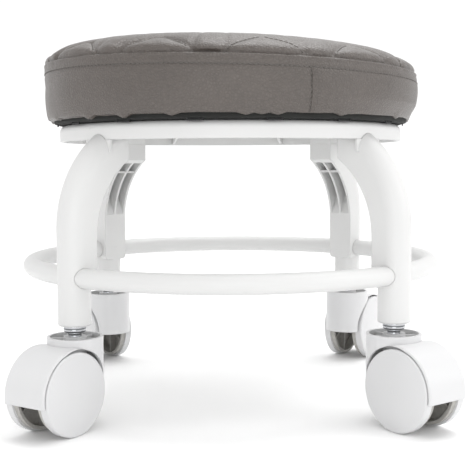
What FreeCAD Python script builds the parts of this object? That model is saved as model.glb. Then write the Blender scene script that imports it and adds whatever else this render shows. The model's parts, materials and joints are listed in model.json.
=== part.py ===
import FreeCAD, Part
import Sketcher
import math
import os
from types import SimpleNamespace
from FreeCAD import Placement, Rotation, Vector

# Low rolling seat: a quilted round cushion on a moulded plate, four bowed legs joined by a round
# foot ring, and four twin-wheel casters. Millimetres, +Z up, floor at Z 0, front towards -Y.

SIZES = {
    # cushion cover
    "cushion_overhang": 9.5,
    "band_height": 36.7,
    "band_bulge": 2.5,
    "hem_curve": 5.5,
    "hem_reach": 21.5,
    "cover_thickness": 1.5,
    "crown_rise": 20.3,
    "shoulder_inset": 19.5,
    "shoulder_rise": 12.7,
    "shoulder_mid_inset": 8.0,
    "shoulder_mid_rise": 8.5,
    "panel_thickness": 7.0,
    # quilting
    "petal_count": 12.0,
    "petal_turn": 8.0,
    "petal_spread": 10.7,
    "petal_tip_inset": 15.5,
    "petal_tip_depth": 2.8,
    "star_tip_radius": 74.0,
    "star_heart_radius": 40.0,
    "star_depth": 2.0,
    "channel_end_rise": 1.2,
    "channel_blade_height": 14.0,
    "channel_blade_width": 12.0,
    # cushion core
    "board_thickness": 12.0,
    "board_inset": 6.5,
    "foam_inset": 2.1,
    "soft_gap": 0.3,
    "dust_cloth_thickness": 1.0,
    "dust_cloth_overhang": 4.5,
    "staple_count": 16.0,
    "staple_clearance": 1.3,
    "staple_wide": 10.0,
    "staple_wire": 0.7,
    "staple_leg": 8.0,
    # seat plate
    "leg_standout": 20.0,
    "plate_bottom": 175.0,
    "plate_height": 11.0,
    "plate_edge_curve": 4.5,
    "plate_wall": 2.5,
    "plate_skin": 3.0,
    "hub_radius": 14.0,
    "rib_count": 8.0,
    "rib_turn": 22.5,
    "rib_thickness": 2.0,
    "rib_height": 2.6,
    "gusset_reach": 9.0,
    "gusset_height": 7.2,
    "socket_wall": 1.8,
    # screws
    "leg_screw_radius": 2.5,
    "leg_screw_head_radius": 5.0,
    "leg_screw_length": 19.0,
    "board_screw_circle_radius": 70.0,
    "board_screw_radius": 2.0,
    "board_screw_head_radius": 4.2,
    "board_screw_head_height": 1.8,
    "board_screw_length": 14.5,
    "screw_gap": 0.06,
    "hole_relief": 0.5,
    # legs
    "leg_count": 4.0,
    "leg_circle_radius": 138.0,
    "leg_width": 20.3,
    "leg_foot_height": 62.6,
    "leg_foot_curve": 1.2,
    "leg_block_drop": 8.0,
    "leg_block_curve": 3.0,
    "leg_outer_bend_drop": 55.0,
    "leg_bend_radius": 62.0,
    "leg_bend_angle": 73.0,
    "leg_inner_depth": 14.5,
    "leg_flat_depth": 10.0,
    "leg_inner_bend_drop": 60.0,
    "leg_inner_curve": 57.0,
    "leg_head_depth": 16.0,
    "leg_head_height": 12.0,
    "leg_head_taper": 2.0,
    "head_fin_thickness": 1.4,
    "head_fin_reach": 1.6,
    "head_fin_height": 8.0,
    "channel_wall": 1.8,
    "channel_back": 8.0,
    "channel_rib": 1.8,
    "channel_bridge_drop": 6.0,
    "channel_bridge_inset": 1.5,
    "channel_bridge_depth": 5.0,
    "channel_foot_rise": 27.0,
    "channel_ramp": 22.0,
    "channel_top_drop": 14.5,
    "plug_depth": 10.6,
    "plug_width": 16.0,
    "plug_gap": 0.2,
    "fit_gap": 0.15,
    # foot ring
    "ring_tube_radius": 6.15,
    "ring_rise": 29.2,
    "ring_gap": 0.05,
    "ring_end_gap": 2.0,
    # casters
    "wheel_radius": 25.0,
    "trail": 17.0,
    "caster_toe": 10.0,
    "wheel_outer": 17.0,
    "wheel_dome": 2.2,
    "wheel_edge_curve": 1.2,
    "wheel_step": 11.5,
    "wheel_step_height": 1.3,
    "wheel_inner": 8.0,
    "wheel_hub_face": 7.6,
    "wheel_rim_wall": 2.0,
    "wheel_face_wall": 2.2,
    "wheel_hub_radius": 5.5,
    "wheel_rib_count": 6.0,
    "wheel_rib_thickness": 1.2,
    "wheel_rib_inset": 2.5,
    "axle_radius": 3.0,
    "axle_half": 15.0,
    "axle_gap": 0.05,
    "press_gap": 0.01,
    "hood_radius": 27.0,
    "hood_wall": 2.4,
    "hood_half_width": 15.8,
    "hood_side": 11.1,
    "hood_side_gap": 0.6,
    "hood_lip_curve": 1.3,
    "hood_back_angle": 98.0,
    "hood_front_angle": 60.0,
    "crown_radius": 17.0,
    "crown_wall": 1.9,
    "crown_top": 56.0,
    "crown_floor": 51.5,
    "crown_rib_count": 6.0,
    "crown_rib_thickness": 1.5,
    "skirt_bottom": 24.0,
    "skirt_half_width": 15.4,
    "skirt_curve": 3.0,
    "crescent_radius": 24.4,
    "crescent_shift": 2.0,
    "boss_radius": 7.0,
    "boss_bottom": 33.0,
    "boss_top_step": 1.2,
    "eye_radius": 6.5,
    "eye_half": 7.2,
    "clip_clearance": 1.0,
    "web_thickness": 3.0,
    "web_reach": 6.0,
    "stem_radius": 4.0,
    "stem_gap": 0.05,
    "stem_below_boss": 3.4,
    "clip_thickness": 1.1,
    "clip_radius": 6.2,
    "clip_groove": 0.7,
    "clip_gap": 0.1,
    "collar_radius": 6.9,
    "collar_height": 2.4,
    "collar_bevel": 0.8,
    "flange_height": 1.6,
    "socket_radius": 6.0,
    "socket_height": 20.0,
    "stem_in_socket": 18.0,
    # tools
    "overrun": 5.0,
}

os.makedirs("parts", exist_ok=True)
doc = FreeCAD.newDocument("creeper_seat")
sheet = doc.addObject("Spreadsheet::Sheet", "Sizes")
for row, (alias, value) in enumerate(SIZES.items(), 1):
    sheet.set("A%d" % row, alias)
    sheet.set("B%d" % row, repr(value))
    sheet.setAlias("B%d" % row, alias)
doc.recompute()


class Size:
    """A number worked out from the sheet, which keeps the sheet's expression beside its value."""

    def __init__(self, value, text):
        self.value = value
        self.text = text

    def join(self, other, sign, value, turned=False):
        left, right = (text_of(other), self.text) if turned else (self.text, text_of(other))
        return Size(value, "(%s %s %s)" % (left, sign, right))

    def __add__(self, other):
        return self.join(other, "+", self.value + value_of(other))

    def __sub__(self, other):
        return self.join(other, "-", self.value - value_of(other))

    def __rsub__(self, other):
        return self.join(other, "-", value_of(other) - self.value, turned=True)

    def __mul__(self, other):
        return self.join(other, "*", self.value * value_of(other))

    def __truediv__(self, other):
        return self.join(other, "/", self.value / value_of(other))

    def __rtruediv__(self, other):
        return self.join(other, "/", value_of(other) / self.value, turned=True)

    def __neg__(self):
        return Size(-self.value, "(-%s)" % self.text)

    def root(self):
        return Size(math.sqrt(self.value), "sqrt(%s)" % self.text)


def value_of(size):
    return size.value if isinstance(size, Size) else size


def text_of(size):
    return size.text if isinstance(size, Size) else repr(size)


def leg_of_triangle(long_side, short_side):
    """Third side of a right-angled triangle."""
    return (long_side * long_side - short_side * short_side).root()


def arc_radius(chord, rise):
    """Radius of an arc that rises by so much over its chord."""
    return (chord * chord / 4 + rise * rise) / (rise * 2)


s = SimpleNamespace(**{alias: Size(value, "Sizes." + alias) for alias, value in SIZES.items()})
sub_parts = []


def kept(thing, label, place=None):
    """Names a finished sub-part and puts it in its place."""
    thing.Label = label
    if place is not None:
        thing.Placement = place
    sub_parts.append(thing)
    return thing


def new_body(name):
    return doc.addObject("PartDesign::Body", name + "_body")


def origin_item(body, role):
    return next(item for item in body.Origin.OriginFeatures if item.Role == role)


def new_sketch(body, name, role, lift=None, turn=None):
    """Sketch on one of the body's own planes, lifted along that plane's normal if asked."""
    sketch = body.newObject("Sketcher::SketchObject", name)
    sketch.AttachmentSupport = [(origin_item(body, role), "")]
    sketch.MapMode = "FlatFace"
    if lift is not None:
        sketch.AttachmentOffset = Placement(Vector(0, 0, lift.value), Rotation())
        sketch.setExpression("AttachmentOffset.Base.z", lift.text)
    if turn is not None:
        sketch.AttachmentOffset = Placement(Vector(), Rotation(Vector(0, 1, 0), turn.value))
    return sketch


def pin(sketch, kind, item, end, size):
    """Dimension from the sketch's origin, driven by the sheet."""
    number = sketch.addConstraint(Sketcher.Constraint(kind, -1, 1, item, end, value_of(size)))
    if isinstance(size, Size):
        sketch.setExpression("Constraints[%d]" % number, size.text)


def outline(sketch, corners):
    """Closed outline. A corner is (across, up), with a radius if the edge that leaves it is an
    arc: positive bends that edge to the left of its way, negative to the right."""
    first = sketch.GeometryCount
    spots = [Vector(value_of(corner[0]), value_of(corner[1]), 0) for corner in corners]
    ends = []
    for number, corner in enumerate(corners):
        start, stop = spots[number], spots[(number + 1) % len(spots)]
        if len(corner) == 2:
            sketch.addGeometry(Part.LineSegment(start, stop), False)
            ends.append((1, 2))
            continue
        bend, way = value_of(corner[2]), stop - start
        rise = math.sqrt(max(bend * bend - way.Length * way.Length / 4, 0))
        side = Vector(-way.y, way.x, 0).normalize() * math.copysign(1, bend)
        centre = (start + stop) / 2 + side * rise
        turn_start = math.atan2(start.y - centre.y, start.x - centre.x)
        turn_stop = math.atan2(stop.y - centre.y, stop.x - centre.x)
        circle = Part.Circle(centre, Vector(0, 0, 1), abs(bend))
        if bend > 0:
            sketch.addGeometry(Part.ArcOfCircle(circle, turn_start, turn_stop), False)
            ends.append((1, 2))
        else:
            sketch.addGeometry(Part.ArcOfCircle(circle, turn_stop, turn_start), False)
            ends.append((2, 1))
    for number, corner in enumerate(corners):
        after = (number + 1) % len(corners)
        sketch.addConstraint(
            Sketcher.Constraint("Coincident", first + number, ends[number][1], first + after, ends[after][0])
        )
    for number, corner in enumerate(corners):
        pin(sketch, "DistanceX", first + number, ends[number][0], corner[0])
        pin(sketch, "DistanceY", first + number, ends[number][0], corner[1])
        if len(corner) == 3:
            bend = corner[2] if value_of(corner[2]) > 0 else -corner[2]
            radius = sketch.addConstraint(Sketcher.Constraint("Radius", first + number, value_of(bend)))
            sketch.setExpression("Constraints[%d]" % radius, text_of(bend))
    return sketch


def ring_line(sketch, across, up, radius):
    """Circle in a sketch."""
    spot = Vector(value_of(across), value_of(up), 0)
    item = sketch.addGeometry(Part.Circle(spot, Vector(0, 0, 1), value_of(radius)), False)
    pin(sketch, "DistanceX", item, 3, across)
    pin(sketch, "DistanceY", item, 3, up)
    number = sketch.addConstraint(Sketcher.Constraint("Radius", item, value_of(radius)))
    sketch.setExpression("Constraints[%d]" % number, text_of(radius))
    return sketch


def axis_line(sketch, start, stop):
    """Construction line that a piece is turned about, known to its feature as Axis0."""
    spots = [Vector(value_of(spot[0]), value_of(spot[1]), 0) for spot in (start, stop)]
    item = sketch.addGeometry(Part.LineSegment(*spots), True)
    for end, spot in ((1, start), (2, stop)):
        pin(sketch, "DistanceX", item, end, spot[0])
        pin(sketch, "DistanceY", item, end, spot[1])
    return sketch


def feature(body, kind, name, sketch):
    """Feature made from a sketch, not yet sized."""
    made = body.newObject("PartDesign::" + kind, name)
    made.Profile = sketch
    return made


def sized(body, made, cuts, before):
    """Recomputes a feature and checks that it did its work."""
    doc.recompute()
    gain = made.Shape.Volume - before
    if (gain >= 0) if cuts else (gain <= 0):
        raise ValueError("%s in %s changed the volume by %.3f" % (made.Name, body.Name, gain))
    return made


def volume_so_far(body):
    return body.Tip.Shape.Volume if body.Tip is not None else 0


def pad(body, name, sketch, length, both=False, back=False):
    before = volume_so_far(body)
    made = feature(body, "Pad", name, sketch)
    made.setExpression("Length", text_of(length))
    made.Midplane = both
    made.Reversed = back
    return sized(body, made, False, before)


def pocket(body, name, sketch, length, both=False, back=False):
    before = volume_so_far(body)
    made = feature(body, "Pocket", name, sketch)
    made.setExpression("Length", text_of(length))
    made.Midplane = both
    made.Reversed = back
    return sized(body, made, True, before)


def turned(body, name, sketch, axis="V_Axis", angle=None, angle_back=None, cuts=False):
    """Revolution or groove about an axis of its sketch."""
    before = volume_so_far(body)
    made = feature(body, "Groove" if cuts else "Revolution", name, sketch)
    made.ReferenceAxis = (sketch, [axis])
    if angle is not None:
        made.setExpression("Angle", text_of(angle))
    if angle_back is not None:
        made.Type = "TwoAngles"
        made.setExpression("Angle2", text_of(angle_back))
    return sized(body, made, cuts, before)


def around(body, name, made, count, cuts):
    """Repeats a feature about the body's upright axis."""
    before = made.Shape.Volume
    pattern = body.newObject("PartDesign::PolarPattern", name)
    pattern.Originals = [made]
    pattern.Axis = (origin_item(body, "Z_Axis"), [""])
    pattern.Angle = 360
    pattern.Occurrences = round(value_of(count))
    body.Tip = pattern
    return sized(body, pattern, cuts, before)


def mirrored(body, name, made, cuts, role="XZ_Plane"):
    before = made.Shape.Volume
    copy = body.newObject("PartDesign::Mirrored", name)
    copy.Originals = [made]
    copy.MirrorPlane = (origin_item(body, role), [""])
    body.Tip = copy
    return sized(body, copy, cuts, before)


def group(label, shapes):
    """Identical loose solids that share one node."""
    thing = doc.addObject("Part::Feature", label)
    thing.Shape = Part.makeCompound(shapes)
    return kept(thing, label)


upright = Vector(0, 0, 1)
leg_names = ("back_right", "back_left", "front_left", "front_right")
ring_names = ("foot_ring_back", "foot_ring_left", "foot_ring_front", "foot_ring_right")
quarter_turn = 360 / s.leg_count.value
first_leg_turn = quarter_turn / 2


# Places that several pieces share, from the legs inwards and from the plate up
plate_radius = s.leg_circle_radius - s.leg_standout
plate_top = s.plate_bottom + s.plate_height
skin_under = plate_top - s.plate_skin
cushion_bottom = plate_top + s.dust_cloth_thickness
board_bottom = cushion_bottom + s.cover_thickness
board_top = board_bottom + s.board_thickness
seam_radius = plate_radius + s.cushion_overhang
seam_height = cushion_bottom + s.band_height
board_radius = seam_radius - s.board_inset
shoulder_radius = seam_radius - s.shoulder_inset
shoulder_height = seam_height + s.shoulder_rise
cushion_top = seam_height + s.crown_rise
crown_curve = arc_radius(shoulder_radius * 2, cushion_top - shoulder_height)
crown_centre = cushion_top - crown_curve
ring_height = s.leg_foot_height + s.ring_rise
block_bottom = ring_height - s.leg_block_drop
outer_bend_start = s.plate_bottom - s.leg_outer_bend_drop
inner_bend_start = s.plate_bottom - s.leg_inner_bend_drop
channel_foot = ring_height + s.channel_foot_rise
channel_top = s.plate_bottom - s.channel_top_drop
leg_half = s.leg_width / 2
leg_outer = s.leg_circle_radius + leg_half
leg_flat = s.leg_circle_radius - s.leg_flat_depth
bend_centre = s.leg_circle_radius - s.leg_bend_radius
head_inner = plate_radius - s.leg_head_depth
plug_inner = head_inner + s.leg_head_taper
plug_outer = plug_inner + s.plug_depth
leg_screw_at = plug_inner + s.plug_depth / 2


def make_cover_band():
    """Boxing band: a sewn strip that bulges a little, with its hem folded under the board."""
    body = new_body("cover_band")
    side = new_sketch(body, "band_section", "XZ_Plane")
    hem_outer = seam_radius - s.hem_curve
    hem_top = cushion_bottom + s.hem_curve
    band_arc = arc_radius(seam_height - hem_top, s.band_bulge)
    inner = seam_radius - s.cover_thickness
    outline(side, [
        (hem_outer - s.hem_reach, cushion_bottom),
        (hem_outer, cushion_bottom, s.hem_curve),
        (seam_radius, hem_top, band_arc),
        (seam_radius, seam_height),
        (inner, seam_height, -(band_arc - s.cover_thickness)),
        (inner, hem_top, -(s.hem_curve - s.cover_thickness)),
        (hem_outer, board_bottom),
        (hem_outer - s.hem_reach, board_bottom),
    ])
    turned(body, "band_turned", side)
    return kept(body, "cover_band")


def crown_height(radius):
    """Height of the panel's main crown at a distance from its middle."""
    return crown_centre.value + math.sqrt(crown_curve.value ** 2 - radius ** 2)


def crown_layer(depth):
    """Outline of a layer at a depth under the panel's face, from the seam in."""
    inner_curve = crown_curve - depth
    share = inner_curve / crown_curve
    return [
        (seam_radius - depth, seam_height),
        (shoulder_radius * share, crown_centre + (shoulder_height - crown_centre) * share, inner_curve),
        (0, cushion_top - depth),
    ]


def channel_blade(start, stop):
    """V-shaped blade whose edge runs from one point to the other."""
    way = stop - start
    side = Vector(-way.y, way.x, 0).normalize() * (s.channel_blade_width.value / 2)
    lift = upright * s.channel_blade_height.value
    blade = Part.Face(Part.makePolygon([start, start + lift + side, start + lift - side, start]))
    return blade.extrude(way)


def make_cover_top():
    """Quilted top panel: crown, shoulder in two slopes, and channels sewn as pointed petals along
    the seam and as a star round the middle."""
    body = new_body("cover_panel")
    side = new_sketch(body, "panel_section", "XZ_Plane")
    outline(side, [
        (0, cushion_top, -crown_curve),
        (shoulder_radius, shoulder_height),
        (seam_radius - s.shoulder_mid_inset, seam_height + s.shoulder_mid_rise),
        (seam_radius, seam_height),
    ] + crown_layer(s.panel_thickness))
    turned(body, "panel_turned", side)
    blades = []
    petal = 360 / s.petal_count.value
    reach = seam_radius.value + s.hole_relief.value
    end_height = seam_height.value + s.channel_end_rise.value
    tip_radius = (seam_radius - s.petal_tip_inset).value
    tip_height = crown_height(tip_radius) - s.petal_tip_depth.value
    point_radius, heart_radius = s.star_tip_radius.value, s.star_heart_radius.value
    point_height = crown_height(point_radius) - s.star_depth.value
    heart_height = crown_height(heart_radius) - s.star_depth.value
    for number in range(round(s.petal_count.value)):
        middle = s.petal_turn.value + petal * number
        tip = Rotation(upright, middle).multVec(Vector(tip_radius, 0, tip_height))
        for turn in (-s.petal_spread.value, s.petal_spread.value):
            seam_spot = Rotation(upright, middle + turn).multVec(Vector(reach, 0, end_height))
            blades.append(channel_blade(tip, seam_spot))
        point = Rotation(upright, middle).multVec(Vector(point_radius, 0, point_height))
        for turn in (-petal / 2, petal / 2):
            heart = Rotation(upright, middle + turn).multVec(Vector(heart_radius, 0, heart_height))
            blades.append(channel_blade(point, heart))
    cutters = doc.addObject("Part::Feature", "channel_blades")
    cutters.Shape = blades[0].multiFuse(blades[1:])
    panel = doc.addObject("Part::Cut", "cover_top")
    panel.Base = body
    panel.Tool = cutters
    doc.recompute()
    return kept(panel, "cover_top")


def make_core():
    """Foam pad, plywood board and dust cloth inside and under the cover."""
    foam = new_body("foam_pad")
    side = new_sketch(foam, "foam_section", "XZ_Plane")
    foam_radius = seam_radius - s.foam_inset
    crown = crown_layer(s.panel_thickness + s.soft_gap)
    ledge = seam_height - s.soft_gap
    outline(side, [
        (0, board_top),
        (foam_radius, board_top),
        (foam_radius, ledge),
        (crown[0][0], ledge),
    ] + crown[1:])
    turned(foam, "foam_turned", side)
    kept(foam, "foam_pad")

    board = new_body("seat_board")
    disc = ring_line(new_sketch(board, "board_disc", "XY_Plane", board_bottom), 0, 0, board_radius)
    pad(board, "board_cut", disc, s.board_thickness)
    holes = ring_line(
        new_sketch(board, "board_pilot", "XY_Plane", board_bottom),
        s.board_screw_circle_radius, 0, s.board_screw_radius + s.screw_gap)
    depth = skin_under + s.board_screw_length + s.hole_relief - board_bottom
    around(board, "board_pilots", pocket(board, "board_pilot_hole", holes, depth, back=True), s.leg_count, True)
    kept(board, "seat_board")

    cloth = new_body("dust_cloth")
    disc = ring_line(new_sketch(cloth, "cloth_disc", "XY_Plane", plate_top), 0, 0, plate_radius + s.dust_cloth_overhang)
    pad(cloth, "cloth_cut", disc, s.dust_cloth_thickness)
    holes = ring_line(
        new_sketch(cloth, "cloth_hole", "XY_Plane", plate_top),
        s.board_screw_circle_radius, 0, s.board_screw_radius + s.screw_gap)
    hole = pocket(cloth, "cloth_screw_hole", holes, s.dust_cloth_thickness, back=True)
    around(cloth, "cloth_screw_holes", hole, s.leg_count, True)
    kept(cloth, "dust_cloth")


def make_staples():
    """Staples through dust cloth and hem into the board, just outside the plate."""
    wide, wire, long_leg = s.staple_wide.value, s.staple_wire.value, s.staple_leg.value
    crown = Part.makeBox(wire, wide, wire, Vector(-wire / 2, -wide / 2, -wire))
    leg = Part.makeBox(wire, wire, long_leg, Vector(-wire / 2, -wide / 2, 0))
    staple = crown.fuse([leg, leg.translated(Vector(0, wide - wire, 0))]).removeSplitter()
    staple.translate(Vector(plate_radius.value + s.staple_clearance.value, 0, plate_top.value))
    step = 360 / s.staple_count.value
    group("cover_staples", [
        staple.rotated(Vector(), upright, step * (number + 1 / 2))
        for number in range(round(s.staple_count.value))
    ])


def make_screws():
    """Countersunk leg screws from above, pan-head board screws from below."""
    body = new_body("leg_screw")
    head_bottom = plate_top - s.plate_skin
    side = new_sketch(body, "leg_screw_section", "XZ_Plane")
    head_top = plate_top - s.screw_gap
    outline(side, [
        (0, head_top - s.leg_screw_length),
        (s.leg_screw_radius, head_top - s.leg_screw_length),
        (s.leg_screw_radius, head_bottom),
        (s.leg_screw_head_radius, head_top),
        (0, head_top),
    ])
    turned(body, "leg_screw_turned", side)
    shape = body.Shape.translated(Vector(leg_screw_at.value, 0, 0))
    group("leg_screws", [
        shape.rotated(Vector(), upright, first_leg_turn + quarter_turn * number)
        for number in range(round(s.leg_count.value))
    ])

    body = new_body("board_screw")
    side = new_sketch(body, "board_screw_section", "XZ_Plane")
    outline(side, [
        (0, skin_under - s.board_screw_head_height),
        (s.board_screw_head_radius, skin_under - s.board_screw_head_height),
        (s.board_screw_head_radius, skin_under),
        (s.board_screw_radius, skin_under),
        (s.board_screw_radius, skin_under + s.board_screw_length),
        (0, skin_under + s.board_screw_length),
    ])
    turned(body, "board_screw_turned", side)
    shape = body.Shape.translated(Vector(s.board_screw_circle_radius.value, 0, 0))
    group("board_screws", [
        shape.rotated(Vector(), upright, quarter_turn * number)
        for number in range(round(s.leg_count.value))
    ])


def make_seat_plate():
    """Moulded plate: a shallow inverted dish with ribs, gussets and a socket for each leg."""
    body = new_body("seat_plate")
    side = new_sketch(body, "plate_section", "XZ_Plane")
    rim_inner = plate_radius - s.plate_wall
    outline(side, [
        (0, skin_under - s.rib_height),
        (s.hub_radius, skin_under - s.rib_height),
        (s.hub_radius, skin_under),
        (rim_inner, skin_under),
        (rim_inner, s.plate_bottom),
        (plate_radius, s.plate_bottom),
        (plate_radius, plate_top - s.plate_edge_curve, s.plate_edge_curve),
        (plate_radius - s.plate_edge_curve, plate_top),
        (0, plate_top),
    ])
    turned(body, "plate_turned", side)

    rib = new_sketch(body, "rib_side", "XZ_Plane", turn=s.rib_turn)
    rim_middle = plate_radius - s.plate_wall / 2
    inside = s.hub_radius - s.rib_thickness
    outline(rib, [
        (inside, skin_under - s.rib_height),
        (rim_inner - s.gusset_reach, skin_under - s.rib_height),
        (rim_inner - s.rib_thickness, skin_under - s.gusset_height),
        (rim_middle, skin_under - s.gusset_height),
        (rim_middle, skin_under + s.plate_skin / 2),
        (inside, skin_under + s.plate_skin / 2),
    ])
    around(body, "ribs", pad(body, "rib", rib, s.rib_thickness, both=True), s.rib_count, False)

    socket = new_sketch(body, "socket_plan", "XY_Plane", s.plate_bottom)
    inner = s.plug_width / 2 + s.plug_gap
    outer = inner + s.socket_wall
    near = plug_inner - s.plug_gap
    outline(socket, [
        (near - s.socket_wall, -outer),
        (rim_middle, -outer),
        (rim_middle, -inner),
        (near, -inner),
        (near, inner),
        (rim_middle, inner),
        (rim_middle, outer),
        (near - s.socket_wall, outer),
    ])
    wall = pad(body, "socket", socket, s.plate_height - s.plate_skin / 2)
    around(body, "sockets", wall, s.leg_count, False)

    sink = new_sketch(body, "leg_screw_seat", "XZ_Plane")
    axis_line(sink, (leg_screw_at, s.plate_bottom), (leg_screw_at, plate_top))
    shank = leg_screw_at + s.leg_screw_radius + s.screw_gap
    outline(sink, [
        (leg_screw_at, skin_under - s.hole_relief),
        (shank, skin_under - s.hole_relief),
        (shank, skin_under),
        (leg_screw_at + s.leg_screw_head_radius + s.screw_gap * 2, plate_top),
        (leg_screw_at + s.leg_screw_head_radius + s.screw_gap * 2, plate_top + s.hole_relief),
        (leg_screw_at, plate_top + s.hole_relief),
    ])
    hole = turned(body, "leg_screw_hole", sink, axis="Axis0", cuts=True)
    around(body, "leg_screw_holes", hole, s.leg_count, True)

    hole = new_sketch(body, "board_screw_plan", "XZ_Plane", turn=Size(first_leg_turn, repr(first_leg_turn)))
    at = s.board_screw_circle_radius
    axis_line(hole, (at, s.plate_bottom), (at, plate_top))
    wide = at + s.board_screw_radius + s.screw_gap
    outline(hole, [
        (at, skin_under - s.hole_relief),
        (wide, skin_under - s.hole_relief),
        (wide, plate_top + s.hole_relief),
        (at, plate_top + s.hole_relief),
    ])
    bored = turned(body, "board_screw_hole", hole, axis="Axis0", cuts=True)
    around(body, "board_screw_holes", bored, s.leg_count, True)
    return kept(body, "seat_plate", Placement(Vector(), Rotation(upright, first_leg_turn)))


def make_leg(name, place):
    """Leg: half-round outside, ribbed channel inside, plug on top, round foot below."""
    body = new_body(name)
    route = new_sketch(body, "leg_route", "XZ_Plane")
    bend = math.radians(s.leg_bend_angle.value)
    bend_end = (
        bend_centre + s.leg_bend_radius * Size(math.cos(bend), "cos(Sizes.leg_bend_angle)"),
        outer_bend_start + s.leg_bend_radius * Size(math.sin(bend), "sin(Sizes.leg_bend_angle)"),
    )
    low = Vector(s.leg_circle_radius.value, block_bottom.value, 0)
    knee = Vector(s.leg_circle_radius.value, outer_bend_start.value, 0)
    middle = Vector(bend_centre.value, outer_bend_start.value, 0)
    route.addGeometry(Part.LineSegment(low, knee), False)
    circle = Part.Circle(middle, upright, s.leg_bend_radius.value)
    route.addGeometry(Part.ArcOfCircle(circle, 0, bend), False)
    route.addConstraint(Sketcher.Constraint("Coincident", 0, 2, 1, 1))
    pin(route, "DistanceX", 0, 1, s.leg_circle_radius)
    pin(route, "DistanceY", 0, 1, block_bottom)
    pin(route, "DistanceX", 0, 2, s.leg_circle_radius)
    pin(route, "DistanceY", 0, 2, outer_bend_start)
    pin(route, "DistanceX", 1, 2, bend_end[0])
    pin(route, "DistanceY", 1, 2, bend_end[1])
    number = route.addConstraint(Sketcher.Constraint("Radius", 1, s.leg_bend_radius.value))
    route.setExpression("Constraints[%d]" % number, s.leg_bend_radius.text)

    section = new_sketch(body, "leg_section", "XY_Plane", block_bottom)
    back = s.leg_circle_radius - s.leg_inner_depth
    outline(section, [
        (back, -leg_half),
        (s.leg_circle_radius, -leg_half, leg_half),
        (leg_outer, 0, leg_half),
        (s.leg_circle_radius, leg_half),
        (back, leg_half),
    ])
    bow = feature(body, "AdditivePipe", "leg_bow", section)
    bow.Spine = (route, ["Edge1", "Edge2"])
    bow.Mode = "Standard"
    bow.Transition = "Transformed"
    sized(body, bow, False, 0)

    trim = new_sketch(body, "inner_trim", "XZ_Plane")
    head_low = s.plate_bottom - s.leg_head_height
    hollow_centre = leg_flat - s.leg_inner_curve
    lip_rise = head_low - s.leg_head_taper - inner_bend_start
    lip_across = hollow_centre + leg_of_triangle(s.leg_inner_curve, lip_rise)
    far = back - s.leg_inner_curve
    outline(trim, [
        (far, block_bottom - s.overrun),
        (leg_flat, block_bottom - s.overrun),
        (leg_flat, inner_bend_start, s.leg_inner_curve),
        (lip_across, head_low - s.leg_head_taper),
        (head_inner, head_low),
        (head_inner, plate_top + s.overrun),
        (far, plate_top + s.overrun),
    ])
    pocket(body, "inner_trimmed", trim, s.leg_width + s.overrun, both=True)

    top = new_sketch(body, "top_trim", "XZ_Plane")
    rim = plate_radius + s.fit_gap
    outline(top, [
        (far, s.plate_bottom),
        (rim, s.plate_bottom),
        (rim, plate_top + s.overrun),
        (far, plate_top + s.overrun),
    ])
    pocket(body, "top_trimmed", top, s.leg_width + s.overrun, both=True)

    corner = new_sketch(body, "block_corner", "YZ_Plane", s.leg_circle_radius)
    outline(corner, [
        (leg_half - s.leg_block_curve, block_bottom, s.leg_block_curve),
        (leg_half, block_bottom + s.leg_block_curve),
        (leg_half + s.overrun, block_bottom + s.leg_block_curve),
        (leg_half + s.overrun, block_bottom - s.overrun),
        (leg_half - s.leg_block_curve, block_bottom - s.overrun),
    ])
    rounded = pocket(body, "block_corner_cut", corner, s.leg_inner_depth)
    mirrored(body, "block_corners_cut", rounded, True)

    channel = new_sketch(body, "channel_side", "XZ_Plane", s.channel_rib / 2)
    floor = leg_outer - s.channel_back
    floor_arc = floor - bend_centre
    ramp_top = channel_foot + s.channel_ramp
    channel_end = bend_centre + leg_of_triangle(floor_arc, channel_top - outer_bend_start)
    ramp_across = bend_centre + leg_of_triangle(floor_arc, ramp_top - outer_bend_start)
    outline(channel, [
        (leg_flat - s.hole_relief, channel_foot),
        (ramp_across, ramp_top, floor_arc),
        (channel_end, channel_top),
        (lip_across - s.leg_head_taper, channel_top),
    ])
    half = pocket(
        body, "channel_half", channel, leg_half - s.channel_wall - s.channel_rib / 2, back=True)
    mirrored(body, "channel", half, True)

    bridge_top = channel_top - s.channel_bridge_drop
    bridge = new_sketch(body, "bridge_side", "XZ_Plane")
    bridge_across = hollow_centre + leg_of_triangle(s.leg_inner_curve, bridge_top - inner_bend_start)
    outline(bridge, [
        (bridge_across + s.channel_bridge_inset, bridge_top - s.channel_rib),
        (bridge_across + s.channel_bridge_inset + s.channel_bridge_depth, bridge_top - s.channel_rib),
        (bridge_across + s.channel_bridge_inset + s.channel_bridge_depth, bridge_top),
        (bridge_across + s.channel_bridge_inset, bridge_top),
    ])
    pad(body, "bridge", bridge, s.leg_width - s.channel_wall, both=True)

    fin = new_sketch(body, "head_fin_plan", "XY_Plane", s.plate_bottom)
    fin_out = leg_half + s.head_fin_reach
    outline(fin, [
        (plate_radius - s.head_fin_thickness, -fin_out),
        (plate_radius, -fin_out),
        (plate_radius, fin_out),
        (plate_radius - s.head_fin_thickness, fin_out),
    ])
    pad(body, "head_fins", fin, s.head_fin_height, back=True)

    foot = new_sketch(body, "foot_section", "XZ_Plane")
    centre = s.leg_circle_radius
    bore = centre + s.socket_radius + s.screw_gap
    bore_top = s.leg_foot_height + s.socket_height + s.hole_relief
    axis_line(foot, (centre, s.leg_foot_height), (centre, block_bottom))
    outline(foot, [
        (centre, bore_top),
        (bore, bore_top),
        (bore, s.leg_foot_height),
        (leg_outer - s.leg_foot_curve, s.leg_foot_height, s.leg_foot_curve),
        (leg_outer, s.leg_foot_height + s.leg_foot_curve),
        (leg_outer, block_bottom + s.leg_flat_depth),
        (centre, block_bottom + s.leg_flat_depth),
    ])
    turned(body, "foot", foot, axis="Axis0")

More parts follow.
